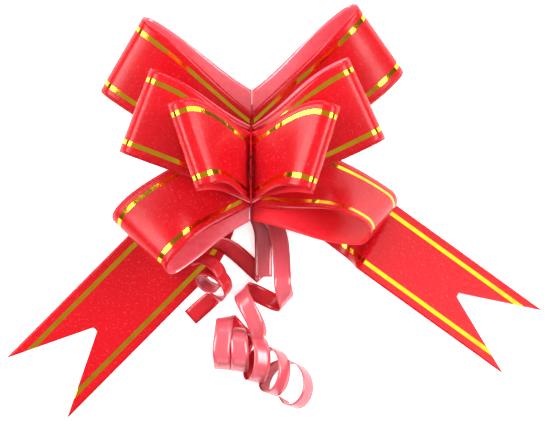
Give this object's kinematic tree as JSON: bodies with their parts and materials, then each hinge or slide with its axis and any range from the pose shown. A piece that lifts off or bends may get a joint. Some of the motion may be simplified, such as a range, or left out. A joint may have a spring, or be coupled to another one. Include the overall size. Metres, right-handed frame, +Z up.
{
  "type": "gift bow",
  "caption": "Pre-made butterfly pull bow of glossy two-ply ribbon with foil stripes, four pairs of loops, two swallowtail tails and curled pull ribbons.",
  "frame": {"origin": "on the table, under the point where the pull ribbons leave the base seal", "axes": "+Z up, away from the table and towards the front of the bow; +Y to the top of the bow; +X to its right hand side seen from the front"},
  "size_m": [0.1875, 0.1436, 0.0492],
  "materials": {
    "ribbon_film": "glossy satin polypropylene ribbon with two gold foil stripes, paler on its inner face",
    "weld": "heat-sealed film",
    "pull_film": "satin curling ribbon"
  },
  "bodies": {
    "base": {"seal_1": "weld", "tail_left_root": "ribbon_film", "tail_right_root": "ribbon_film", "pull_ribbon_long_core": "pull_film", "pull_ribbon_short_core": "pull_film", "pull_ribbon_long": "pull_film", "pull_ribbon_short": "pull_film", "pull_ribbon_long_curl": "pull_film", "pull_ribbon_short_curl": "pull_film"},
    "upper_pair": {"upper_loop_left": "ribbon_film", "upper_loop_right": "ribbon_film", "seal_2": "weld"},
    "lower_pair": {"lower_loop_left": "ribbon_film", "lower_loop_right": "ribbon_film", "seal_3": "weld"},
    "middle_pair": {"seal_4": "weld"},
    "middle_left": {"middle_loop_left": "ribbon_film"},
    "middle_right": {"middle_loop_right": "ribbon_film"},
    "centre_pair": {"seal_5": "weld"},
    "centre_left": {"centre_loop_left": "ribbon_film"},
    "centre_right": {"centre_loop_right": "ribbon_film"},
    "left_tail": {"tail_left": "ribbon_film"},
    "right_tail": {"tail_right": "ribbon_film"}
  },
  "joints": [
    {"name": "upper_swivel", "type": "hinge", "parent": "base", "child": "upper_pair", "pos_m": [0, 0.0035, 0.0065], "axis": [0, 0, 1], "range_deg": [-5, 5]},
    {"name": "lower_swivel", "type": "hinge", "parent": "base", "child": "lower_pair", "pos_m": [0, 0.0005, 0.01525], "axis": [0, 0, 1], "range_deg": [-1.5, 5]},
    {"name": "middle_swivel", "type": "hinge", "parent": "base", "child": "middle_pair", "pos_m": [0, -0.0005, 0.0225], "axis": [0, 0, 1], "range_deg": [-5, 5]},
    {"name": "centre_swivel", "type": "hinge", "parent": "base", "child": "centre_pair", "pos_m": [0, -0.00125, 0.0295], "axis": [0, 0, 1], "range_deg": [-5, 5]},
    {"name": "middle_left_flex", "type": "hinge", "parent": "middle_pair", "child": "middle_left", "pos_m": [0, -0.0005, 0.02325], "axis": [0, 1, 0], "range_deg": [-1, 4], "stiffness_Nm_per_rad": 0.004},
    {"name": "centre_left_flex", "type": "hinge", "parent": "centre_pair", "child": "centre_left", "pos_m": [0, -0.00125, 0.03075], "axis": [0, 1, 0], "range_deg": [-5, 6], "stiffness_Nm_per_rad": 0.004},
    {"name": "middle_right_flex", "type": "hinge", "parent": "middle_pair", "child": "middle_right", "pos_m": [0, -0.0005, 0.02325], "axis": [0, -1, 0], "range_deg": [-1, 4], "stiffness_Nm_per_rad": 0.004},
    {"name": "centre_right_flex", "type": "hinge", "parent": "centre_pair", "child": "centre_right", "pos_m": [0, -0.00125, 0.03075], "axis": [0, -1, 0], "range_deg": [-5, 6], "stiffness_Nm_per_rad": 0.004},
    {"name": "left_tail_lift", "type": "hinge", "parent": "base", "child": "left_tail", "pos_m": [-0.02414, -0.02658, 0.0001], "axis": [-0.7096, 0.7046, 0], "range_deg": [0, 15]},
    {"name": "right_tail_lift", "type": "hinge", "parent": "base", "child": "right_tail", "pos_m": [0.04428, -0.02558, 0.00759], "axis": [-0.5066, -0.7024, 0.5], "range_deg": [0, 12]}
  ]
}
